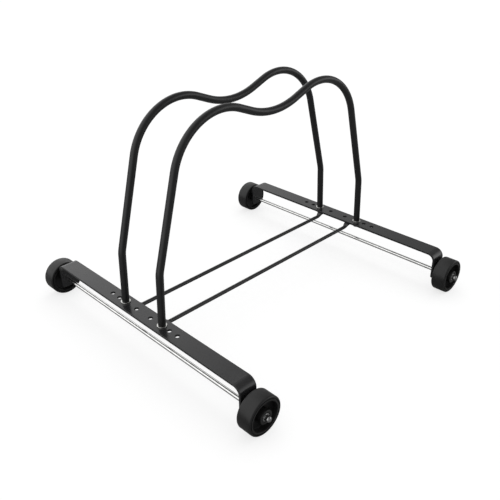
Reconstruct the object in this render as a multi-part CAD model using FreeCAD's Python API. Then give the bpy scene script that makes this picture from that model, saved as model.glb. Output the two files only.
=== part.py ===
import FreeCAD, Part
import math
import os

# Floor rack that holds one bicycle by its wheel.  Two bent flat-bar rails stand on plastic
# wheels.  Two double-humped hoops bolt to the rails, and the tyre stands between them.
# X runs along the rails and axles, Y is the way the bicycle rolls in, and Z is up.
# The origin is on the floor, under the middle of the rack.  All sizes are in millimetres.

V = FreeCAD.Vector
X_AXIS = V(1, 0, 0)
Y_AXIS = V(0, 1, 0)
Z_AXIS = V(0, 0, 1)
SIDES = (("left", -1), ("right", 1))
ENDS = (("front", -1), ("rear", 1))

# rails: flat bar, bent down at both ends into legs
RAIL_SPACING = 406.0
RAIL_LENGTH = 385.0
RAIL_WIDTH = 25.4
RAIL_THICKNESS = 3.2
RAIL_BEND_RADIUS = 12.0
RAIL_ABOVE_AXLE = 31.5
LEG_BELOW_AXLE = 9.0
LEG_CORNER_RADIUS = 4.0
EDGE_ROUNDING = 0.5

# rows of holes in each rail, measured from the middle of the rack
INNER_HOLE = 14.9
HOOP_HOLE = 38.9
OUTER_HOLE = 53.5
END_HOLE = 69.0
HOLE_CLEARANCE = 0.6

# hoops: round bar bent in one plane, with two humps and a dip between them; the dip's
# height is above the rail, and the humps' height is above the dip
BAR_DIAMETER = 10.0
HUMP_SPACING = 180.0
HUMP_HEIGHT = 21.2
HUMP_RADIUS = 79.0
DIP_HEIGHT = 231.4
DIP_RADIUS = 112.0
SLOPE_RUN = 19.75
KINK_HEIGHT = 74.0
KINK_INSET = 3.5
KINK_RADIUS = 40.0
FOOT_ROUNDING = 0.8
TAPPED_DEPTH = 13.0

# screws that hold the hoop feet, with the washers above and below the rail
SCREW_DIAMETER = 6.0
SCREW_LENGTH = 16.0
HEAD_ACROSS_FLATS = 10.0
HEAD_HEIGHT = 4.0
HEAD_CHAMFER = 0.8
WASHER_DIAMETER = 13.6
WASHER_CLEARANCE = 0.6
WASHER_THICKNESS = 1.6
WASHER_CHAMFER = 0.3
SPRING_WASHER_DIAMETER = 9.9
SPRING_WASHER_THICKNESS = 1.6
SPRING_WASHER_GAP = 1.0

# cross rods: round bar with hammered flat ends, welded under the rails
ROD_DIAMETER = 5.5
ROD_BELOW_RAIL = 5.4
TAB_THICKNESS = 2.6
TAB_LAP = 15.0
TAB_TO_SCREW = 0.6
FLARE_LENGTH = 9.0
FLARE_TO_RAIL = 1.5
WELD_LEG = 1.8
WELD_LENGTH = 9.0

# axles and wheels
AXLE_DIAMETER = 5.5
RUNNING_CLEARANCE = 0.08
LEG_TO_HUB = 0.5
LEG_TO_RIM = 5.0
WHEEL_DIAMETER = 50.8
WHEEL_WIDTH = 21.0
SHOULDER_RADIUS = 3.0
RIM_LIP = 2.7
RIM_LIP_ROUNDING = 0.5
DISH_DEPTH = 8.0
INNER_DISH_DEPTH = 7.0
DISH_DRAFT = 0.5
HUB_DIAMETER = 18.0
INNER_HUB_DIAMETER = 14.0
HUB_ABOVE_RIM = 1.0
HUB_ROUNDING = 0.6

# domed push caps on the axle ends, each with a flange that sits in a pocket of the hub
CAP_PLAY = 0.3
CAP_FLANGE_DIAMETER = 10.4
CAP_FLANGE_THICKNESS = 0.8
CAP_DIAMETER = 7.4
CAP_LENGTH = 7.5
CAP_CROWN = 3.0
CAP_POCKET_DEPTH = 1.2
CAP_POCKET_MARGIN = 1.0

rail_y = RAIL_SPACING / 2
axle_z = WHEEL_DIAMETER / 2
rail_top = axle_z + RAIL_ABOVE_AXLE
rail_under = rail_top - RAIL_THICKNESS
leg_bottom = axle_z - LEG_BELOW_AXLE
leg_outside = RAIL_LENGTH / 2
bar_radius = BAR_DIAMETER / 2
seat_z = rail_top + WASHER_THICKNESS
axle_hole_radius = AXLE_DIAMETER / 2 + RUNNING_CLEARANCE
rim_inside = leg_outside + LEG_TO_RIM
hub_outside = rim_inside + WHEEL_WIDTH + HUB_ABOVE_RIM
# a round bar hammered flat keeps its section area, with a half-round edge on each side
tab_width = (math.pi * (ROD_DIAMETER ** 2 - TAB_THICKNESS ** 2) / 4) / TAB_THICKNESS + TAB_THICKNESS
fixing_width = max(HEAD_ACROSS_FLATS, SPRING_WASHER_DIAMETER)
rod_x = HOOP_HOLE - fixing_width / 2 - TAB_TO_SCREW - tab_width / 2


def rounded_wire(corners):
    """Closed wire through (point, corner radius) pairs, each corner with a tangent arc."""
    edges = []
    ends = []
    for index, (corner, radius) in enumerate(corners):
        before = (corners[index - 1][0] - corner).normalize()
        after = (corners[(index + 1) % len(corners)][0] - corner).normalize()
        if radius == 0:
            ends.append((corner, corner))
            continue
        half_angle = before.getAngle(after) / 2
        reach = radius / math.tan(half_angle)
        middle = (before + after).normalize() * (radius / math.sin(half_angle) - radius)
        start, finish = corner + before * reach, corner + after * reach
        edges.append(Part.Arc(start, corner + middle, finish).toShape())
        ends.append((start, finish))
    for index, (start, _) in enumerate(ends):
        edges.append(Part.makeLine(ends[index - 1][1], start))
    return Part.Wire(Part.__sortEdges__(edges))


def turned(profile, centre, side=1):
    """Solid turned about an axis along X from (distance along X, radius, rounding) points."""
    corners = [(V(side * along, 0, radius), rounding) for along, radius, rounding in profile]
    solid = Part.Face(rounded_wire(corners)).revolve(V(0, 0, 0), X_AXIS, 360)
    solid.translate(centre)
    return solid


def save(node, *solids):
    """Write one node, as one solid or as a group of separate solids."""
    shape = solids[0] if len(solids) == 1 else Part.makeCompound(list(solids))
    shape.exportStep(f"parts/{node}.step")


def make_rail(y):
    """Flat bar bent down into two legs, with the rows of holes and a hole for the axle."""
    half_width = RAIL_WIDTH / 2
    height = rail_top - leg_bottom
    inside_length = RAIL_LENGTH - 2 * RAIL_THICKNESS
    low = V(-leg_outside, -half_width, leg_bottom)
    outside = Part.makeBox(RAIL_LENGTH, RAIL_WIDTH, height, low)
    inside = Part.makeBox(inside_length, RAIL_WIDTH, height - RAIL_THICKNESS,
                          low + V(RAIL_THICKNESS, 0, 0))

    def bends(block, top):
        return [edge for edge in block.Edges
                if abs(edge.CenterOfMass.z - top) < 0.01 and abs(edge.CenterOfMass.y) < 0.01]

    outside = outside.makeFillet(RAIL_BEND_RADIUS, bends(outside, rail_top))
    inside = inside.makeFillet(RAIL_BEND_RADIUS - RAIL_THICKNESS, bends(inside, rail_under))
    rail = outside.cut(inside)
    foot_corners = [edge for edge in rail.Edges
                    if abs(edge.CenterOfMass.z - leg_bottom) < 0.01
                    and abs(abs(edge.CenterOfMass.y) - half_width) < 0.01]
    rail = rail.makeFillet(LEG_CORNER_RADIUS, foot_corners)
    bar_edges = [edge for edge in rail.Edges
                 if edge.CenterOfMass.z < leg_bottom + 0.01
                 or abs(edge.CenterOfMass.y) > half_width - LEG_CORNER_RADIUS]
    rail = rail.makeFillet(EDGE_ROUNDING, bar_edges)
    cutters = [Part.makeCylinder(axle_hole_radius, RAIL_LENGTH, V(-leg_outside, 0, axle_z), X_AXIS)]
    hole_radius = (SCREW_DIAMETER + HOLE_CLEARANCE) / 2
    for place in (INNER_HOLE, HOOP_HOLE, OUTER_HOLE, END_HOLE):
        for side in (-1, 1):
            cutters.append(Part.makeCylinder(hole_radius, RAIL_THICKNESS,
                                             V(side * place, 0, rail_under)))
    rail = rail.cut(cutters)
    rail.translate(V(0, y, 0))
    return rail


def hoop_path(x):
    """Centre line of a hoop from foot to foot, as lines and tangent curves."""
    dip_centre = V(x, 0, rail_top + DIP_HEIGHT + DIP_RADIUS)
    hump_centre = V(x, HUMP_SPACING / 2, rail_top + DIP_HEIGHT + HUMP_HEIGHT - HUMP_RADIUS)
    kink = V(x, rail_y - KINK_INSET, rail_top + KINK_HEIGHT)
    foot = V(x, rail_y, seat_z)

    # both arcs reach the same slope, and the run between them leaves and meets it smoothly:
    # it is straight where the heights agree with the slope
    slope = math.asin((HUMP_SPACING / 2 - SLOPE_RUN) / (DIP_RADIUS + HUMP_RADIUS))
    across = V(0, math.sin(slope), -math.cos(slope))
    dip_end = dip_centre + across * DIP_RADIUS
    hump_start = hump_centre - across * HUMP_RADIUS
    handle = V(0, math.cos(slope), math.sin(slope)) * (dip_end.distanceToPoint(hump_start) / 3)
    run = Part.BezierCurve()
    run.setPoles([dip_end, dip_end + handle, hump_start - handle, hump_start])

    # the upper leg is the line from the kink that touches the hump's circle
    reach = kink - hump_centre
    lean = math.atan2(reach.z, reach.y) + math.acos(HUMP_RADIUS / reach.Length)
    hump_end = hump_centre + V(0, math.cos(lean), math.sin(lean)) * HUMP_RADIUS
    middle_angle = (lean + math.pi / 2 + slope) / 2
    hump_middle = hump_centre + V(0, math.cos(middle_angle), math.sin(middle_angle)) * HUMP_RADIUS

    # the kink is a small bend, and the foot runs on under its seat to be cut off flat
    upward = (hump_end - kink).normalize()
    downward = (foot - kink).normalize()
    half_angle = upward.getAngle(downward) / 2
    kink_reach = KINK_RADIUS / math.tan(half_angle)
    kink_middle = kink + (upward + downward).normalize() * (KINK_RADIUS / math.sin(half_angle)
                                                            - KINK_RADIUS)
    kink_start, kink_end = kink + upward * kink_reach, kink + downward * kink_reach
    half = [run.toShape(),
            Part.Arc(hump_start, hump_middle, hump_end).toShape(),
            Part.makeLine(hump_end, kink_start),
            Part.Arc(kink_start, kink_middle, kink_end).toShape(),
            Part.makeLine(kink_end, foot + downward * bar_radius)]
    mirrored = [edge.mirror(V(0, 0, 0), Y_AXIS) for edge in half]
    dip = Part.Arc(V(x, -dip_end.y, dip_end.z), dip_centre - V(0, 0, DIP_RADIUS), dip_end).toShape()
    return Part.Wire(Part.__sortEdges__(mirrored + [dip] + half))


def make_hoop(x):
    """Bent round bar, cut flat at both feet and tapped there for the screws."""
    path = hoop_path(x)
    start = path.OrderedVertexes[0].Point
    first_edge = path.OrderedEdges[0]
    section = Part.Wire(Part.makeCircle(bar_radius, start, first_edge.tangentAt(
        first_edge.FirstParameter)))
    bar = path.makePipeShell([section], True, False)
    ground = Part.makeBox(4 * BAR_DIAMETER, RAIL_SPACING + 4 * BAR_DIAMETER, rail_top,
                          V(x - 2 * BAR_DIAMETER, -rail_y - 2 * BAR_DIAMETER, seat_z - rail_top))
    bar = bar.cut(ground)
    rims = [edge for edge in bar.Edges if abs(edge.BoundBox.ZMax - seat_z) < 0.01]
    bar = bar.makeFillet(min(FOOT_ROUNDING, bar_radius / 3), rims)
    taps = [Part.makeCylinder(SCREW_DIAMETER / 2, TAPPED_DEPTH, V(x, side * rail_y, seat_z))
            for side in (-1, 1)]
    return bar.cut(taps)


def hoop_feet():
    """Centre of each hoop foot in plan."""
    return [V(side * HOOP_HOLE, end * rail_y, 0) for _, end in ENDS for _, side in SIDES]


def make_washer(foot):
    """Flat washer between a hoop foot and the rail."""
    radius = WASHER_DIAMETER / 2
    ring = Part.makeCylinder(radius, WASHER_THICKNESS, foot + V(0, 0, rail_top))
    rims = [edge for edge in ring.Edges if abs(edge.Length - 2 * math.pi * radius) < 0.01]
    ring = ring.makeChamfer(WASHER_CHAMFER, rims)
    hole_radius = (SCREW_DIAMETER + WASHER_CLEARANCE) / 2
    return ring.cut(Part.makeCylinder(hole_radius, WASHER_THICKNESS, foot + V(0, 0, rail_top)))


def make_spring_washer(foot):
    """Split ring between the screw head and the underside of the rail."""
    low = foot + V(0, 0, rail_under - SPRING_WASHER_THICKNESS)
    ring = Part.makeCylinder(SPRING_WASHER_DIAMETER / 2, SPRING_WASHER_THICKNESS, low)
    hole = Part.makeCylinder(SCREW_DIAMETER / 2, SPRING_WASHER_THICKNESS, low)
    split = Part.makeBox(SPRING_WASHER_DIAMETER, SPRING_WASHER_GAP, SPRING_WASHER_THICKNESS,
                         low - V(0, SPRING_WASHER_GAP / 2, 0))
    return ring.cut([hole, split])


def make_screw(foot):
    """Hexagon screw, from its head under the rail up into the tapped hoop foot."""
    head_top = rail_under - SPRING_WASHER_THICKNESS
    head_low = head_top - HEAD_HEIGHT
    corner_radius = HEAD_ACROSS_FLATS / math.sqrt(3)
    corners = [V(corner_radius * math.cos(angle), corner_radius * math.sin(angle), 0)
               for angle in (math.radians(30 + 60 * step) for step in range(7))]
    head = Part.Face(Part.makePolygon(corners)).extrude(V(0, 0, HEAD_HEIGHT))
    head.translate(foot + V(0, 0, head_low))
    dome_radius = HEAD_ACROSS_FLATS / 2
    dome = Part.makeCone(dome_radius, dome_radius + HEAD_HEIGHT / math.tan(math.radians(30)),
                         HEAD_HEIGHT, foot + V(0, 0, head_low))
    shank = Part.makeCylinder(SCREW_DIAMETER / 2, SCREW_LENGTH, foot + V(0, 0, head_top))
    tip = max(shank.Edges, key=lambda edge: edge.CenterOfMass.z)
    return head.common(dome).fuse(shank.makeChamfer(HEAD_CHAMFER, [tip])).removeSplitter()


def make_cross_rod(x):
    """Round rod between the rails, with its ends cranked up and hammered into flat tabs."""
    rod_z = rail_under - ROD_BELOW_RAIL
    tab_z = rail_under - TAB_THICKNESS / 2
    rail_edge = rail_y - RAIL_WIDTH / 2
    flare_end = rail_edge - FLARE_TO_RAIL
    flare_start = flare_end - FLARE_LENGTH
    radius = ROD_DIAMETER / 2
    tab_radius = TAB_THICKNESS / 2
    flat = tab_width / 2 - tab_radius
    diagonal = radius / math.sqrt(2)

    def quartered(y, z, corner_x, corner_z, top, side):
        """Closed section of four edges: top, right, bottom and left."""
        corners = [V(x + sx * corner_x, y, z + sz * corner_z)
                   for sx, sz in ((-1, 1), (1, 1), (1, -1), (-1, -1))]
        middles = [V(x, y, z + top), V(x + side, y, z), V(x, y, z - top), V(x - side, y, z)]
        edges = []
        for index, middle in enumerate(middles):
            start, finish = corners[index], corners[(index + 1) % 4]
            straight = middle.distanceToLine(start, finish - start) < 0.001
            edges.append(Part.makeLine(start, finish) if straight
                         else Part.Arc(start, middle, finish).toShape())
        return Part.Wire(edges)

    def section(y, z, share):
        """Section of the rod: round at share 0 and flat at share 1."""
        corner_x = diagonal + (flat - diagonal) * share
        corner_z = diagonal + (tab_radius - diagonal) * share
        top = radius + (tab_radius - radius) * share
        side = radius + (tab_width / 2 - radius) * share
        return quartered(y, z, corner_x, corner_z, top, side)

    rod = Part.makeCylinder(radius, 2 * flare_start, V(x, -flare_start, rod_z), Y_AXIS)
    for end in (-1, 1):
        flare = Part.makeLoft([section(end * flare_start, rod_z, 0),
                               section(end * flare_end, tab_z, 1)], True, True)
        tab = Part.Face(section(end * flare_end, tab_z, 1)).extrude(
            V(0, end * (FLARE_TO_RAIL + TAB_LAP), 0))
        rod = rod.fuse([flare, tab])
    return rod


def make_welds(x, rod):
    """Weld beads under the rails, along the free side and the end of each tab."""
    rail_edge = rail_y - RAIL_WIDTH / 2
    tab_end = rail_edge + TAB_LAP
    towards_middle = -math.copysign(1, x)
    side_x = x + towards_middle * tab_width / 2
    beads = []
    for end in (-1, 1):
        side_start = V(side_x, end * (tab_end - WELD_LENGTH), rail_under)
        end_start = V(x - tab_width / 4, end * tab_end, rail_under)
        for start, along, length in ((side_start, V(0, end, 0), WELD_LENGTH - WELD_LEG),
                                     (end_start, X_AXIS, tab_width / 2)):
            bead = Part.makeCylinder(WELD_LEG, length, start, along)
            bead = bead.fuse([Part.makeSphere(WELD_LEG, start),
                              Part.makeSphere(WELD_LEG, start + along * length)])
            box = bead.BoundBox
            above = Part.makeBox(box.XLength, box.YLength, box.ZLength,
                                 V(box.XMin, box.YMin, rail_under))
            beads.append(bead.cut([above, rod]))
    return beads


def make_axle(y):
    """Plain round rod through both legs and both wheels of one rail."""
    reach = hub_outside - CAP_POCKET_DEPTH + CAP_PLAY + CAP_LENGTH - CAP_CROWN
    return Part.makeCylinder(AXLE_DIAMETER / 2, 2 * reach, V(-reach, y, axle_z), X_AXIS)


def make_wheel(side, y):
    """Moulded wheel with a broad tread, dished on both faces round a central hub."""
    outer = rim_inside + WHEEL_WIDTH
    tread = WHEEL_DIAMETER / 2
    dish = tread - SHOULDER_RADIUS - RIM_LIP
    web_outer, web_inner = outer - DISH_DEPTH, rim_inside + INNER_DISH_DEPTH
    hub, inner_hub = HUB_DIAMETER / 2, INNER_HUB_DIAMETER / 2
    pocket = CAP_FLANGE_DIAMETER / 2 + CAP_POCKET_MARGIN
    pocket_floor = hub_outside - CAP_POCKET_DEPTH
    return turned([(leg_outside + LEG_TO_HUB, axle_hole_radius, 0),
                   (leg_outside + LEG_TO_HUB, inner_hub, HUB_ROUNDING),
                   (web_inner, inner_hub + DISH_DRAFT, HUB_ROUNDING),
                   (web_inner, dish - DISH_DRAFT, HUB_ROUNDING),
                   (rim_inside, dish, RIM_LIP_ROUNDING),
                   (rim_inside, tread, SHOULDER_RADIUS),
                   (outer, tread, SHOULDER_RADIUS),
                   (outer, dish, RIM_LIP_ROUNDING),
                   (web_outer, dish - DISH_DRAFT, HUB_ROUNDING),
                   (web_outer, hub + DISH_DRAFT, HUB_ROUNDING),
                   (hub_outside, hub, HUB_ROUNDING),
                   (hub_outside, pocket, 0),
                   (pocket_floor, pocket, 0),
                   (pocket_floor, axle_hole_radius, 0)],
                  V(0, y, axle_z), side)


def make_cap(side, y):
    """Domed steel cap that grips the axle end and keeps the wheel on."""
    base = hub_outside - CAP_POCKET_DEPTH + CAP_PLAY
    tip = base + CAP_LENGTH
    flange = CAP_FLANGE_DIAMETER / 2
    shell = turned([(base, 0, 0),
                    (base, flange, 0),
                    (base + CAP_FLANGE_THICKNESS, flange, CAP_FLANGE_THICKNESS / 3),
                    (base + CAP_FLANGE_THICKNESS, CAP_DIAMETER / 2, CAP_FLANGE_THICKNESS / 3),
                    (tip, CAP_DIAMETER / 2, CAP_CROWN),
                    (tip, 0, 0)],
                   V(0, y, axle_z), side)
    socket = Part.makeCylinder(AXLE_DIAMETER / 2, CAP_LENGTH - CAP_CROWN,
                               V(side * base, y, axle_z), V(side, 0, 0))
    return shell.cut(socket)


os.makedirs("parts", exist_ok=True)

for end_name, end in ENDS:
    save(f"{end_name}_rail", make_rail(end * rail_y))
    save(f"{end_name}_axle", make_axle(end * rail_y))
    for side_name, side in SIDES:
        save(f"{end_name}_{side_name}_wheel", make_wheel(side, end * rail_y))
        save(f"{end_name}_{side_name}_axle_cap", make_cap(side, end * rail_y))

welds = []
for side_name, side in SIDES:
    save(f"{side_name}_hoop", make_hoop(side * HOOP_HOLE))
    cross_rod = make_cross_rod(side * rod_x)
    save(f"{side_name}_cross_rod", cross_rod)
    welds += make_welds(side * rod_x, cross_rod)

save("cross_rod_welds", *welds)
save("hoop_washers", *[make_washer(foot) for foot in hoop_feet()])
save("hoop_spring_washers", *[make_spring_washer(foot) for foot in hoop_feet()])
save("hoop_screws", *[make_screw(foot) for foot in hoop_feet()])
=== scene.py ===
import math

import bpy
import numpy as np
from mathutils import Matrix


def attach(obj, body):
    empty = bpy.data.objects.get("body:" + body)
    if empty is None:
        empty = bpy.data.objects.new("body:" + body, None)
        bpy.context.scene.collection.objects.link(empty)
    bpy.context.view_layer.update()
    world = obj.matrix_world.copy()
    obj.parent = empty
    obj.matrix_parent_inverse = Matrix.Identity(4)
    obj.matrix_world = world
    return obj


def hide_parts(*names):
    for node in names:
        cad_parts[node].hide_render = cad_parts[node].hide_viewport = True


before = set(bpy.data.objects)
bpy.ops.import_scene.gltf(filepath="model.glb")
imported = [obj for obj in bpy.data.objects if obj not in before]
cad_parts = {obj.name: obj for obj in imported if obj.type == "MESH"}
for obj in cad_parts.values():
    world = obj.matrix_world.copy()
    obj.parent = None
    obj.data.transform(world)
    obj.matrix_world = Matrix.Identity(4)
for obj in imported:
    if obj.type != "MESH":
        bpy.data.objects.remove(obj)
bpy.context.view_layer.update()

# Floor bike rack.  Metres, X along the rails, Y the way the bicycle rolls in, Z up.

# ------------------------------------------------------------------ rails
# Two lengths of steel flat bar, drilled and then bent down into a leg at each end.  They are
# powder coated in semi-gloss black, which lies with a fine orange peel and mirrors the hoop
# feet softly.  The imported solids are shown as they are.


def new_material(name):
    """Node material: its tree, its Principled shader and the piece's own coordinates."""
    material = bpy.data.materials.new(name)
    material.use_nodes = True
    tree = material.node_tree
    shader = tree.nodes["Principled BSDF"]
    coordinates = tree.nodes.new("ShaderNodeTexCoord").outputs["Object"]
    return material, tree, shader, coordinates


def noise(tree, coordinates, per_metre, detail, stretch=(1, 1, 1)):
    """Noise around 0.5 with so many lumps to a metre, drawn out where stretch is below 1."""
    mapping = tree.nodes.new("ShaderNodeMapping")
    mapping.inputs["Scale"].default_value = stretch
    texture = tree.nodes.new("ShaderNodeTexNoise")
    texture.inputs["Scale"].default_value = per_metre
    texture.inputs["Detail"].default_value = detail
    tree.links.new(coordinates, mapping.inputs["Vector"])
    tree.links.new(mapping.outputs["Vector"], texture.inputs["Vector"])
    return texture.outputs["Fac"]


def tones(tree, value, low, high):
    """Colour that goes from low to high as the value goes from 0.35 to 0.65."""
    node = tree.nodes.new("ShaderNodeValToRGB")
    node.color_ramp.elements[0].position = 0.35
    node.color_ramp.elements[1].position = 0.65
    node.color_ramp.elements[0].color = (*low, 1)
    node.color_ramp.elements[1].color = (*high, 1)
    tree.links.new(value, node.inputs["Fac"])
    return node.outputs["Color"]


def spread(tree, value, low, high, start=0.35, stop=0.65):
    """Number that goes from low to high as the value goes from start to stop."""
    node = tree.nodes.new("ShaderNodeMapRange")
    node.inputs["From Min"].default_value = start
    node.inputs["From Max"].default_value = stop
    node.inputs["To Min"].default_value = low
    node.inputs["To Max"].default_value = high
    tree.links.new(value, node.inputs["Value"])
    return node.outputs["Result"]


def relief(tree, shader, height, depth):
    """Relief of that depth in metres, added to any relief that the shader has."""
    bump = tree.nodes.new("ShaderNodeBump")
    bump.inputs["Distance"].default_value = depth
    tree.links.new(height, bump.inputs["Height"])
    for link in list(shader.inputs["Normal"].links):
        tree.links.new(link.from_socket, bump.inputs["Normal"])
    tree.links.new(bump.outputs["Normal"], shader.inputs["Normal"])


def powder_coat(name, dark, light, gloss, peel_depth, sheen=0.5):
    """Black powder coat: slow changes of tone, uneven gloss, orange peel and a few specks."""
    material, tree, shader, coordinates = new_material(name)
    clouds = noise(tree, coordinates, per_metre=14, detail=4)
    tree.links.new(tones(tree, clouds, dark, light), shader.inputs["Base Color"])
    patches = noise(tree, coordinates, per_metre=70, detail=4)
    tree.links.new(spread(tree, patches, *gloss), shader.inputs["Roughness"])
    shader.inputs["Specular IOR Level"].default_value = sheen
    relief(tree, shader, noise(tree, coordinates, per_metre=700, detail=2), peel_depth)
    lumps = noise(tree, coordinates, per_metre=420, detail=1)
    relief(tree, shader, spread(tree, lumps, low=0, high=1, start=0.74, stop=0.8), depth=0.00003)
    return material


rail_coat = powder_coat("rail_powder_coat", (0.011, 0.011, 0.012), (0.017, 0.017, 0.018),
                        (0.2, 0.27), 0.000012)
for rail in ("front_rail", "rear_rail"):
    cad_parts[rail].material_slots[0].material = rail_coat

# ------------------------------------------------------------------ cross rods
# Two round steel rods that tie the rails together.  Their ends are cranked up and hammered
# flat, lie under the rails and are welded there, and all of it is coated black.

AXLE_HEIGHT = 0.0254
RAIL_Y = 0.203
RAIL_WIDTH = 0.0254
RAIL_TOP = 0.0569
RAIL_UNDER = 0.0537
ROD_X = 0.02845
ROD_RADIUS = 0.00275
ROD_DROP = 0.0054
TAB_HALF_WIDTH = 0.00482
TAB_HALF_THICKNESS = 0.0013
TAB_END = RAIL_Y - RAIL_WIDTH / 2 + 0.015
TAB_ROUNDING = 0.001
FLARE_END = RAIL_Y - RAIL_WIDTH / 2 + 0.001
FLARE_START = FLARE_END - 0.008


def skin(name, stacks, ring_closed=False):
    """Mesh over stacks of rings, each an array of rings by points by 3.

    Each ring is joined to the next one, point to point.  The first and last rings are closed
    by a fan to their own middle, or joined to each other where ring_closed is true.
    Faces are turned outwards by the sign of the volume they hold.
    """
    points, faces = [], []
    for rings in stacks:
        rows, columns = rings.shape[:2]
        first = sum(len(block) for block in points)
        index = first + np.arange(rows * columns).reshape(rows, columns)
        here, there = (index, np.roll(index, -1, 0)) if ring_closed else (index[:-1], index[1:])
        quads = np.stack([here, np.roll(here, -1, 1), np.roll(there, -1, 1), there], -1)
        quads = quads.reshape(-1, 4)
        block = rings.reshape(-1, 3)
        corners = block[quads - first]
        volume = np.einsum("ij,ij->", corners[:, 0] - block.mean(0), np.cross(
            corners[:, 1] - corners[:, 0], corners[:, 3] - corners[:, 0]))
        turn = 1 if volume > 0 else -1
        faces += quads[:, ::turn].tolist()
        points.append(block)
        if not ring_closed:
            points.append(rings[[0, -1]].mean(1))
            for pole, ring, way in ((0, index[0], -turn), (1, index[-1], turn)):
                middle = np.full(columns, first + rows * columns + pole)
                fan = np.stack([ring, np.roll(ring, -1), middle], -1)
                faces += fan[:, ::way].tolist()
    mesh = bpy.data.meshes.new(name)
    mesh.from_pydata(np.concatenate(points).tolist(), [], faces)
    mesh.polygons.foreach_set("use_smooth", np.ones(len(faces), bool))
    mesh.set_sharp_from_angle(angle=math.radians(32))
    piece = bpy.data.objects.new(name, mesh)
    bpy.context.scene.collection.objects.link(piece)
    return piece


def fit(piece, node, body, material):
    """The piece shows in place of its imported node, moves with its body and takes its finish."""
    piece.data.materials.append(material)
    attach(piece, body)
    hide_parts(node)


def flattened_rod(x):
    """Rings of a rod along Y whose section goes from round to flat at both ends.

    A section is |x/a|^n + |z/b|^n = 1.  The half width a, the half thickness b, the power n
    and the height follow a smooth step over the flare, and the last 1 mm is rounded off.
    """
    inward = np.array([0, FLARE_START, *np.linspace(FLARE_START, FLARE_END, 13)[1:],
                       TAB_END - TAB_ROUNDING, *(TAB_END - TAB_ROUNDING * (1 - np.sin(
                           np.linspace(0.2, 1.5, 6))))])
    along = np.concatenate([-inward[:0:-1], inward])
    far = np.abs(along)
    share = np.clip((far - FLARE_START) / (FLARE_END - FLARE_START), 0, 1)
    flat = (share * share * (3 - 2 * share))[:, None]
    past = np.clip((far - TAB_END + TAB_ROUNDING) / TAB_ROUNDING, 0, 0.999)
    rounding = np.sqrt(1 - past ** 2)[:, None]
    around = np.linspace(0, 2 * np.pi, 40, endpoint=False)[None, :]
    power = 2 / (2 + 2.5 * flat)
    half_width = (ROD_RADIUS + (TAB_HALF_WIDTH - ROD_RADIUS) * flat) * (0.75 + 0.25 * rounding)
    half_height = (ROD_RADIUS + (TAB_HALF_THICKNESS - ROD_RADIUS) * flat) * (0.4 + 0.6 * rounding)
    middle = RAIL_UNDER - ROD_DROP + (ROD_DROP - TAB_HALF_THICKNESS) * flat
    across = half_width * np.sign(np.cos(around)) * np.abs(np.cos(around)) ** power
    upward = middle + half_height * np.sign(np.sin(around)) * np.abs(np.sin(around)) ** power
    return np.stack([x + across, along[:, None] + 0 * around, upward], -1)


rod_coat = powder_coat("rod_powder_coat", (0.008, 0.008, 0.009), (0.013, 0.013, 0.013),
                       (0.28, 0.36), 0.000012)
hammer_tree = rod_coat.node_tree
hammered = noise(hammer_tree, hammer_tree.nodes["Texture Coordinate"].outputs["Object"],
                 per_metre=230, detail=1)
relief(hammer_tree, hammer_tree.nodes["Principled BSDF"], hammered, depth=0.00012)
for side, sign in (("left", -1), ("right", 1)):
    rod = skin(f"{side}_rod", [flattened_rod(sign * ROD_X)])
    fit(rod, f"{side}_cross_rod", "base", rod_coat)

# ------------------------------------------------------------------ welds
# Two short beads at each rod end, one along the flat's free side and one across its end,
# laid from below and coated over, so only their ripples show.

WELD_LEG = 0.0018
WELD_LENGTH = 0.009
RIPPLE_PITCH = 0.0011


def bead(start, along, sideways, length):
    """Rings of a fillet bead under the rail, in the corner beside the flat.

    The section is a quarter round of radius r between sideways and down.  Along the bead r
    dips by a tenth at each ripple, and it runs out as a quarter circle at both ends.
    """
    place = np.concatenate([-WELD_LEG * np.cos(np.linspace(0.15, 1.4, 5)),
                            np.linspace(0, length, 49),
                            length + WELD_LEG * np.sin(np.linspace(0.17, 1.42, 5))])
    beyond = np.clip(np.maximum(-place, place - length) / WELD_LEG, 0, 0.99)
    radius = WELD_LEG * np.sqrt(1 - beyond ** 2)
    radius = radius * (1 - 0.1 * np.abs(np.sin(np.pi * place / RIPPLE_PITCH)) ** 3)
    angle = np.linspace(0, np.pi / 2, 9)
    section = np.outer(np.cos(angle), sideways) + np.outer(np.sin(angle), (0, 0, -1))
    section = np.concatenate([np.zeros((1, 3)), section])
    return start + place[:, None, None] * along + radius[:, None, None] * section[None]


beads = []
for x in (-ROD_X, ROD_X):
    towards_middle = np.array([-math.copysign(1, x), 0, 0])
    for end in (-1, 1):
        beads.append(bead(np.array([x, end * (TAB_END - WELD_LENGTH), RAIL_UNDER])
                          + towards_middle * TAB_HALF_WIDTH,
                          np.array([0, end, 0]), towards_middle, WELD_LENGTH - WELD_LEG))
        beads.append(bead(np.array([x - TAB_HALF_WIDTH / 2, end * TAB_END, RAIL_UNDER]),
                          np.array([1, 0, 0]), np.array([0, end, 0]), TAB_HALF_WIDTH))
fit(skin("weld_beads", beads), "cross_rod_welds", "base", rod_coat)

# ------------------------------------------------------------------ axles
# One bright drawn steel rod to each rail, through both legs and both wheels.  It turns
# freely there, and the wheels turn on it.

AXLE_RADIUS = 0.00275
AXLE_REACH = 0.2231
AXLE_CHAMFER = 0.0003


def turned(outline, centre, axis, columns=96):
    """Rings turned about an axis from (distance along it, radius) points."""
    around = np.linspace(0, 2 * np.pi, columns, endpoint=False)
    outline = np.asarray(outline, float)
    ring = np.stack([np.cos(around), np.sin(around)], -1)[None] * outline[:, 1, None, None]
    along = outline[:, 0, None, None] + np.zeros((1, columns, 1))
    order = {"x": [0, 1, 2], "z": [2, 0, 1]}[axis]
    places = np.concatenate([along, ring], -1)
    return np.stack([places[..., order.index(direction)] for direction in range(3)], -1) + centre


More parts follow.
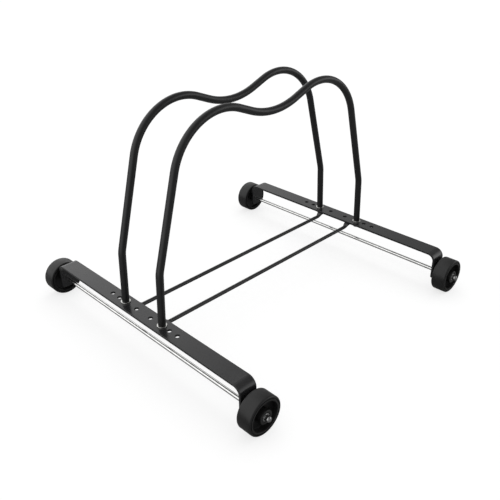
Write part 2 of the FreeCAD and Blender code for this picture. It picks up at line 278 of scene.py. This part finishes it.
def bright_metal(name, tone, gloss, drawn, drawn_depth):
    """Bright metal: patches of tone and gloss, and fine lines drawn along one direction."""
    material, tree, shader, coordinates = new_material(name)
    shader.inputs["Metallic"].default_value = 1.0
    dull = tuple(0.84 * channel for channel in tone)
    tree.links.new(tones(tree, noise(tree, coordinates, per_metre=150, detail=5), dull, tone),
                   shader.inputs["Base Color"])
    tree.links.new(spread(tree, noise(tree, coordinates, per_metre=60, detail=5), *gloss),
                   shader.inputs["Roughness"])
    lines = noise(tree, coordinates, per_metre=2600, detail=3, stretch=drawn)
    relief(tree, shader, lines, drawn_depth)
    return material


axle_plating = bright_metal("axle_plating", (0.8, 0.8, 0.79), (0.1, 0.18), (0.02, 1, 1), 0.000004)
axle_outline = [(-AXLE_REACH, AXLE_RADIUS - AXLE_CHAMFER), (AXLE_CHAMFER - AXLE_REACH, AXLE_RADIUS),
                (AXLE_REACH - AXLE_CHAMFER, AXLE_RADIUS), (AXLE_REACH, AXLE_RADIUS - AXLE_CHAMFER)]
for end, sign in (("front", -1), ("rear", 1)):
    axle = skin(f"{end}_axle_rod", [turned(
        axle_outline, (0, sign * RAIL_Y, AXLE_HEIGHT), "x", columns=64)])
    fit(axle, f"{end}_axle", f"{end}_axle", axle_plating)

# ------------------------------------------------------------------ wheels
# Four wheels of moulded black plastic: a tyre on a core that shows as a rim inside a fine seam,
# with a dished web and a hub that is pocketed for the cap.  The web is painted a little darker
# and with less sheen than the rest, as painted shade in the dish.

LEG_OUTSIDE = 0.1925
HUB_INSIDE = LEG_OUTSIDE + 0.0005
RIM_INSIDE = LEG_OUTSIDE + 0.005
RIM_OUTSIDE = RIM_INSIDE + 0.021
HUB_OUTSIDE = RIM_OUTSIDE + 0.001
BORE_RADIUS = 0.00283
TYRE_RADIUS = 0.0254
SHOULDER = 0.0021
SEAM_RADIUS = 0.0225
SEAM_WIDTH = 0.0012
SEAM_DEPTH = 0.0018
RIM_RADIUS = 0.0197
HUB_RADIUS = 0.009
INNER_HUB_RADIUS = 0.007
INNER_DISH_DEPTH = 0.007
DISH_DEPTH = 0.008
DRAFT = 0.0005
WHEEL_EDGE = 0.0006
POCKET_RADIUS = 0.0062
POCKET_DEPTH = 0.0012
WEB_RADIUS = 0.0142
WEB_HALF_SPAN = 0.0052
FACE_DEPTH = 0.0006
WHEEL_COLUMNS = 128


def filleted(corners, closed=True):
    """Outline through (a, b, radius) corners, each with a tangent arc of six points.

    The arc's middle lies on the bisector, at radius / sin(half the corner's angle).  A corner
    with no radius keeps its one point, and an open outline keeps its two ends as they are.
    """
    corners = np.asarray(corners, float)
    outline = []
    for number, (a, b, radius) in enumerate(corners):
        corner = np.array([a, b])
        if radius == 0 or not closed and number in (0, len(corners) - 1):
            outline.append(corner)
            continue
        before = corners[number - 1, :2] - corner
        after = corners[(number + 1) % len(corners), :2] - corner
        before, after = before / np.hypot(*before), after / np.hypot(*after)
        half = math.acos(np.clip(before @ after, -1, 1)) / 2
        bisector = (before + after) / np.hypot(*(before + after))
        centre = corner + bisector * radius / math.sin(half)
        start = corner + before * radius / math.tan(half) - centre
        stop = corner + after * radius / math.tan(half) - centre
        sweep = math.atan2(start[0] * stop[1] - start[1] * stop[0], start @ stop)
        angle = math.atan2(start[1], start[0]) + np.linspace(0, sweep, 6)
        outline += list(centre + radius * np.stack([np.cos(angle), np.sin(angle)], -1))
    return np.array(outline)


seam_in, seam_out = SEAM_RADIUS - SEAM_WIDTH / 2, SEAM_RADIUS + SEAM_WIDTH / 2
wheel_outline = filleted([
    (HUB_INSIDE, BORE_RADIUS, 0.0002), (HUB_INSIDE, INNER_HUB_RADIUS, WHEEL_EDGE),
    (RIM_INSIDE + INNER_DISH_DEPTH, INNER_HUB_RADIUS + DRAFT, WHEEL_EDGE),
    (RIM_INSIDE + INNER_DISH_DEPTH, RIM_RADIUS - DRAFT, WHEEL_EDGE),
    (RIM_INSIDE, RIM_RADIUS, 0.0005),
    (RIM_INSIDE, seam_in, 0.0001), (RIM_INSIDE + SEAM_DEPTH, seam_in, 0),
    (RIM_INSIDE + SEAM_DEPTH, seam_out, 0), (RIM_INSIDE, seam_out, 0.0001),
    (RIM_INSIDE, TYRE_RADIUS, SHOULDER), (RIM_OUTSIDE, TYRE_RADIUS, SHOULDER),
    (RIM_OUTSIDE, seam_out, 0.0001), (RIM_OUTSIDE - SEAM_DEPTH, seam_out, 0),
    (RIM_OUTSIDE - SEAM_DEPTH, seam_in, 0), (RIM_OUTSIDE, seam_in, 0.0001),
    (RIM_OUTSIDE, RIM_RADIUS, 0.0005),
    (RIM_OUTSIDE - DISH_DEPTH, RIM_RADIUS - DRAFT, WHEEL_EDGE),
    (RIM_OUTSIDE - DISH_DEPTH, HUB_RADIUS + DRAFT, WHEEL_EDGE),
    (HUB_OUTSIDE, HUB_RADIUS, WHEEL_EDGE), (HUB_OUTSIDE, POCKET_RADIUS, 0.0002),
    (HUB_OUTSIDE - POCKET_DEPTH, POCKET_RADIUS, 0.0002),
    (HUB_OUTSIDE - POCKET_DEPTH, BORE_RADIUS, 0.0002)])


def moulded_plastic(name, dark, light, sheen):
    """Black plastic: cloudy tone and gloss, a fine grain and the slight waves of a moulding."""
    material, tree, shader, coordinates = new_material(name)
    tree.links.new(tones(tree, noise(tree, coordinates, per_metre=40, detail=5), dark, light),
                   shader.inputs["Base Color"])
    patches = noise(tree, coordinates, per_metre=110, detail=5)
    tree.links.new(spread(tree, patches, low=0.34, high=0.44), shader.inputs["Roughness"])
    shader.inputs["Specular IOR Level"].default_value = sheen
    relief(tree, shader, noise(tree, coordinates, per_metre=1800, detail=3), depth=0.000015)
    relief(tree, shader, noise(tree, coordinates, per_metre=120, detail=2), depth=0.00006)
    return material


tyre_plastic = moulded_plastic("tyre_plastic", (0.007, 0.007, 0.007), (0.011, 0.011, 0.011),
                               sheen=0.36)
# Darker copy of the tyre plastic with less sheen: painted shade for the dished web.
shaded_web_plastic = moulded_plastic("shaded_web_plastic", (0.007, 0.007, 0.007), (0.01, 0.01, 0.01), sheen=0.2)
# Faces of the dished web, which take the painted shade.
web_shade_faces = ((np.abs(wheel_outline[:, 1] - WEB_RADIUS) < WEB_HALF_SPAN)
            & (wheel_outline[:, 0] < RIM_OUTSIDE - FACE_DEPTH))
for end, way in (("front", -1), ("rear", 1)):
    for side, sign in (("left", -1), ("right", 1)):
        wheel = skin(f"{end}_{side}_tyre", [turned(wheel_outline * (sign, 1), (
            0, way * RAIL_Y, AXLE_HEIGHT), "x", WHEEL_COLUMNS)], ring_closed=True)
        fit(wheel, f"{end}_{side}_wheel", f"{end}_{side}_wheel", tyre_plastic)
        wheel.data.materials.append(shaded_web_plastic)
        wheel.data.polygons.foreach_set(
            "material_index", np.repeat(web_shade_faces, WHEEL_COLUMNS).astype("i"))

# ------------------------------------------------------------------ axle caps
# Domed caps of polished pressed steel, pushed on to the axle ends.  Their flanges sit in the
# hub pockets and keep the wheels on.  The steel is given a low tone: painted shade that stands
# in for the dark surroundings the caps mirror.

CAP_PLAY = 0.0003
CAP_BASE = HUB_OUTSIDE - POCKET_DEPTH + CAP_PLAY
CAP_TIP = CAP_BASE + 0.0075
CAP_RADIUS = 0.0037
CAP_FLANGE_RADIUS = 0.0052
CAP_FLANGE_THICKNESS = 0.0008
CAP_EDGE = 0.00027
CAP_CROWN = 0.003
POLE_RADIUS = 0.0001

cap_outline = filleted([
    (CAP_TIP - CAP_CROWN, POLE_RADIUS, 0), (CAP_TIP - CAP_CROWN, AXLE_RADIUS, 0),
    (CAP_BASE, AXLE_RADIUS, 0), (CAP_BASE, CAP_FLANGE_RADIUS, 0.0002),
    (CAP_BASE + CAP_FLANGE_THICKNESS, CAP_FLANGE_RADIUS, CAP_EDGE),
    (CAP_BASE + CAP_FLANGE_THICKNESS, CAP_RADIUS, CAP_EDGE),
    (CAP_TIP, CAP_RADIUS, CAP_CROWN), (CAP_TIP, POLE_RADIUS, 0)], closed=False)
# Low tone of the cap steel: painted shade in its reflections, darker than bright steel.
cap_steel = bright_metal("cap_steel", (0.34, 0.34, 0.34), (0.12, 0.18), (1, 0.08, 0.08), 0.000008)
for end, way in (("front", -1), ("rear", 1)):
    for side, sign in (("left", -1), ("right", 1)):
        cap = skin(f"{end}_{side}_push_cap", [turned(cap_outline * (sign, 1), (
            0, way * RAIL_Y, AXLE_HEIGHT), "x", columns=72)])
        fit(cap, f"{end}_{side}_axle_cap", f"{end}_axle", cap_steel)

# ------------------------------------------------------------------ hoops
# Two hoops of 10 mm steel bar, each bent in one plane into two humps with a dip between them
# and a slight kink in both legs.  The feet are cut flat and tapped, and all is coated black.

HOOP_X = 0.0389
BAR_RADIUS = 0.005
SEAT = RAIL_TOP + 0.0016
HUMP_Y = 0.09
HUMP_BEND = 0.079
HUMP_RISE = 0.0212
DIP_BEND = 0.112
DIP_LOW = RAIL_TOP + 0.2314
HUMP_TOP = DIP_LOW + HUMP_RISE
SLOPE_RUN = 0.01975
SLOPE = math.asin((HUMP_Y - SLOPE_RUN) / (DIP_BEND + HUMP_BEND))
KINK = np.array([RAIL_Y - 0.0035, RAIL_TOP + 0.074])
KINK_BEND = 0.04
FOOT = np.array([RAIL_Y, SEAT])
FOOT_EDGE = 0.0008
TAP_RADIUS = 0.003
TAP_DEPTH = 0.013


def bend(centre, radius, start, stop, points):
    """Points of an arc in the Y-Z plane, from one angle to another."""
    angle = np.linspace(start, stop, points)[:, None]
    return centre + radius * np.concatenate([np.cos(angle), np.sin(angle)], 1)


def hoop_line():
    """Centre line of a hoop from foot to foot, in the Y-Z plane.

    Dip arc, straight slope, hump arc, the straight leg that touches the hump, and the kink,
    which is a small arc between the leg and the straight foot; then all of it mirrored.
    """
    hump_centre = np.array([HUMP_Y, HUMP_TOP - HUMP_BEND])
    reach = KINK - hump_centre
    lean = math.atan2(reach[1], reach[0]) + math.acos(HUMP_BEND / np.hypot(*reach))
    dip = bend((0, DIP_LOW + DIP_BEND), DIP_BEND, -math.pi / 2, SLOPE - math.pi / 2, 14)
    hump = bend(hump_centre, HUMP_BEND, SLOPE + math.pi / 2, lean, 56)
    upward, downward = hump[-1] - KINK, FOOT - KINK
    upward, downward = upward / np.hypot(*upward), downward / np.hypot(*downward)
    half = math.acos(upward @ downward) / 2
    bisector = (upward + downward) / np.hypot(*(upward + downward))
    kink_centre = KINK + bisector * KINK_BEND / math.sin(half)
    kink_start = KINK + upward * KINK_BEND / math.tan(half) - kink_centre
    kink_stop = KINK + downward * KINK_BEND / math.tan(half) - kink_centre
    turn = math.atan2(kink_start[0] * kink_stop[1] - kink_start[1] * kink_stop[0],
                      kink_start @ kink_stop)
    angle = math.atan2(kink_start[1], kink_start[0])
    kink = bend(kink_centre, KINK_BEND, angle, angle + turn, 8)
    foot = FOOT - downward * np.linspace(0.012, 0.002, 4)[:, None]
    half_line = np.concatenate([dip, hump, kink, foot])
    return np.concatenate([half_line[:0:-1] * (-1, 1), half_line])


def hoop_rings(x):
    """Rings of radius BAR_RADIUS square to the centre line, then each foot as level rings.

    A foot goes round its edge, across its flat end and up the tapped hole to its bottom.
    """
    line = hoop_line()
    along = np.gradient(line, axis=0)
    along /= np.hypot(along[:, 0], along[:, 1])[:, None]
    around = np.linspace(0, 2 * np.pi, 48, endpoint=False)
    outward = np.stack([-along[:, 1], along[:, 0]], -1)[:, None, :] * np.sin(around)[None, :, None]
    sideways = BAR_RADIUS * np.cos(around)[None, :] + np.zeros((len(line), 1))
    bar = np.concatenate([x + sideways[..., None], line[:, None, :] + BAR_RADIUS * outward], -1)

    edge = np.linspace(0, np.pi / 2, 6)
    radii = np.concatenate([BAR_RADIUS - FOOT_EDGE + FOOT_EDGE * np.cos(edge),
                            [TAP_RADIUS + 0.0004, TAP_RADIUS, TAP_RADIUS, 0.0002]])
    heights = np.concatenate([SEAT + FOOT_EDGE - FOOT_EDGE * np.sin(edge),
                              [SEAT, SEAT + 0.0004, SEAT + TAP_DEPTH, SEAT + TAP_DEPTH]])
    feet = []
    for end in (-1, 1):
        # the rings run round the same way as the bar's end ring above them
        ring_y = end * (RAIL_Y + radii[:, None] * np.sin(around))
        feet.append(np.stack([x + radii[:, None] * np.cos(around), ring_y,
                              heights[:, None] + 0 * around], -1))
    return np.concatenate([feet[0][::-1], bar, feet[1]])


hoop_coat = powder_coat("hoop_powder_coat", (0.007, 0.007, 0.008), (0.012, 0.012, 0.012),
                        (0.3, 0.38), 0.000015, sheen=0.4)
for side, sign in (("left", -1), ("right", 1)):
    hoop = skin(f"{side}_bar_hoop", [hoop_rings(sign * HOOP_X)])
    fit(hoop, f"{side}_hoop", "base", hoop_coat)

# ------------------------------------------------------------------ washers
# Under each hoop foot lies a stamped flat washer, and under the rail a split spring washer.
# Both kinds are bright zinc plated.

WASHER_RADIUS = 0.0066
WASHER_HOLE = 0.0033
WASHER_THICKNESS = 0.0016
SPRING_RADIUS = 0.00495
SPRING_HOLE = 0.00305
SPRING_GAP = 0.001
FEET = [(sign * HOOP_X, way * RAIL_Y, 0) for way in (-1, 1) for sign in (-1, 1)]

zinc = bright_metal("zinc_plate", (0.62, 0.62, 0.6), (0.1, 0.18), (1, 1, 1), 0.00001)
washer_outline = filleted([
    (RAIL_TOP, WASHER_HOLE, 0.0001), (RAIL_TOP, WASHER_RADIUS, 0.0003),
    (SEAT, WASHER_RADIUS, 0.0003), (SEAT, WASHER_HOLE, 0.0001)])
washers = skin("flat_washers", [turned(washer_outline, foot, "z", columns=72) for foot in FEET],
               ring_closed=True)
fit(washers, "hoop_washers", "base", zinc)


def split_ring(foot):
    """Rings of a rounded square section carried round the washer from one cut to the other."""
    section = filleted([(SPRING_HOLE, 0, 0.0002), (SPRING_RADIUS, 0, 0.0002),
                        (SPRING_RADIUS, -WASHER_THICKNESS, 0.0002),
                        (SPRING_HOLE, -WASHER_THICKNESS, 0.0002)])
    cut = math.asin(SPRING_GAP / 2 / SPRING_RADIUS) * 1.2
    angle = np.linspace(cut, 2 * np.pi - cut, 60)[:, None]
    radius, height = section[None, :, 0], section[None, :, 1]
    places = np.stack([radius * np.cos(angle), radius * np.sin(angle),
                       RAIL_UNDER + height + 0 * angle], -1)
    return places + np.array(foot)


spring_washers = skin("split_washers", [split_ring(foot) for foot in FEET])
fit(spring_washers, "hoop_spring_washers", "base", zinc)

# ------------------------------------------------------------------ screws
# Hexagon screws, zinc plated, that pull each hoop foot down on to the rail from below.

HEAD_TOP = RAIL_UNDER - WASHER_THICKNESS
HEAD_HEIGHT = 0.004
HEAD_FLAT = 0.005
SCREW_RADIUS = 0.003
SCREW_TIP = HEAD_TOP + 0.016
THREAD_PITCH = 0.001
THREAD_DEPTH = 0.0005


def screw_rings(foot):
    """Rings of one screw from the underside of its head up to its tip.

    The head is a hexagon, radius flat / cos(angle from the nearest flat), cut by a 30 degree
    cone.  The thread is a wave in height / pitch - angle / turn, and it runs out at the tip.
    """
    around = np.linspace(0, 2 * np.pi, 48, endpoint=False)[None, :]
    hexagon = HEAD_FLAT / np.cos((around + math.pi / 6) % (math.pi / 3) - math.pi / 6)
    low = HEAD_TOP - HEAD_HEIGHT
    head_height = low + np.array([0, 0, 0.0001, 0.0003, 0.0005, 0.001, HEAD_HEIGHT])[:, None]
    cone = HEAD_FLAT - 0.0002 + (head_height - low) / math.tan(math.radians(30))
    cone[0] = 0.0004
    head = np.minimum(hexagon, cone)
    shank_height = np.linspace(HEAD_TOP, SCREW_TIP - 0.0006, 126)[:, None]
    wave = 0.5 + 0.5 * np.cos(2 * np.pi * shank_height / THREAD_PITCH - around)
    start = np.clip((shank_height - HEAD_TOP - 0.0008) / 0.0008, 0, 1)
    shank = SCREW_RADIUS - THREAD_DEPTH * wave ** 1.5 * start
    tip_height = np.array([SCREW_TIP, SCREW_TIP])[:, None]
    tip = np.array([SCREW_RADIUS - 0.0008, 0.0003])[:, None] + 0 * around
    radius = np.concatenate([head, shank, tip])
    height = np.concatenate([head_height, shank_height, tip_height]) + 0 * around
    return np.stack([radius * np.cos(around), radius * np.sin(around), height], -1) + np.array(foot)


screws = skin("hex_screws", [screw_rings(foot) for foot in FEET])
fit(screws, "hoop_screws", "base", zinc)

# ------------------------------------------------------------------ studio
# Pale floor that the camera sees white and that keeps the rack's soft shadow, a white surround
# that metal and coats mirror brighter to the left and right of the view than ahead, and one
# broad soft lamp high behind the rack, which is not mirrored.

FLOOR_TONE = 0.35
FLOOR_LIFT = 0.73
FLOOR_CORNERS = [(-6.7, -7.35, 0), (7.35, 6.7, 0), (0, 14, 0), (-14, 0, 0)]
SURROUND_LIT = 0.75
SURROUND_SEEN = 1.0

floor_mesh = bpy.data.meshes.new("studio_floor")
floor_mesh.from_pydata(FLOOR_CORNERS, [], [(0, 1, 2, 3)])
floor = bpy.data.objects.new("studio_floor", floor_mesh)
bpy.context.scene.collection.objects.link(floor)
floor_paint, tree, shader, _ = new_material("studio_floor")
shader.inputs["Base Color"].default_value = (FLOOR_TONE, FLOOR_TONE, FLOOR_TONE, 1)
shader.inputs["Roughness"].default_value = 1.0
shader.inputs["Specular IOR Level"].default_value = 0.0
light_path = tree.nodes.new("ShaderNodeLightPath")
glow = tree.nodes.new("ShaderNodeEmission")
lift = spread(tree, light_path.outputs["Is Camera Ray"], 0, FLOOR_LIFT, start=0, stop=1)
tree.links.new(lift, glow.inputs["Strength"])
both = tree.nodes.new("ShaderNodeAddShader")
tree.links.new(shader.outputs["BSDF"], both.inputs[0])
tree.links.new(glow.outputs["Emission"], both.inputs[1])
tree.links.new(both.outputs["Shader"], tree.nodes["Material Output"].inputs["Surface"])
floor_mesh.materials.append(floor_paint)

world = bpy.data.worlds.new("studio")
world.use_nodes = True
bpy.context.scene.world = world
tree = world.node_tree
direction = tree.nodes.new("ShaderNodeTexCoord").outputs["Generated"]
mirrored = tree.nodes.new("ShaderNodeMath")
mirrored.operation = "ADD"
for number, (towards, dim, bright, start, stop) in enumerate((
        ((-0.8, -0.6, 0), 0.3, 1.4, -0.2, 0.4), ((0.6, 0.8, 0), 0, 1.3, 0.8, 0.95))):
    share = tree.nodes.new("ShaderNodeVectorMath")
    share.operation = "DOT_PRODUCT"
    share.inputs[1].default_value = towards
    tree.links.new(direction, share.inputs[0])
    tree.links.new(spread(tree, share.outputs["Value"], dim, bright, start, stop),
                   mirrored.inputs[number])
light_path = tree.nodes.new("ShaderNodeLightPath")
lit = tree.nodes.new("ShaderNodeMix")
lit.inputs["A"].default_value = SURROUND_LIT
tree.links.new(light_path.outputs["Is Glossy Ray"], lit.inputs["Factor"])
tree.links.new(mirrored.outputs[0], lit.inputs["B"])
seen = tree.nodes.new("ShaderNodeMix")
seen.inputs["B"].default_value = SURROUND_SEEN
tree.links.new(light_path.outputs["Is Camera Ray"], seen.inputs["Factor"])
tree.links.new(lit.outputs["Result"], seen.inputs["A"])
surround = tree.nodes["Background"]
surround.inputs["Color"].default_value = (1, 1, 1, 1)
tree.links.new(seen.outputs["Result"], surround.inputs["Strength"])

lamp_data = bpy.data.lights.new("soft_lamp", "SUN")
lamp_data.energy = 0.5
lamp_data.angle = math.radians(60)
lamp = bpy.data.objects.new("soft_lamp", lamp_data)
lamp.rotation_euler = (math.radians(-35), math.radians(-20), 0)
lamp.visible_glossy = False
bpy.context.scene.collection.objects.link(lamp)

# ------------------------------------------------------------------ camera
# The photograph's viewpoint, from a fit of the rails, holes, rods and hoops.

CAMERA_PLACE = (0.56343, -0.5663, 0.51753)
CAMERA_HEADING = math.radians(45.245)
CAMERA_TILT = math.radians(90 - 29.331)
CAMERA_ROLL = math.radians(-0.65)

camera_data = bpy.data.cameras.new("camera")
camera_data.lens = 44.39
camera_data.sensor_width = 36.0
camera_data.clip_start = 0.01
camera = bpy.data.objects.new("camera", camera_data)
camera.matrix_world = (Matrix.Translation(CAMERA_PLACE)
                       @ Matrix.Rotation(CAMERA_HEADING, 4, "Z")
                       @ Matrix.Rotation(CAMERA_TILT, 4, "X")
                       @ Matrix.Rotation(CAMERA_ROLL, 4, "Z"))
bpy.context.scene.collection.objects.link(camera)
bpy.context.scene.camera = camera
bpy.context.scene.view_settings.view_transform = "Standard"
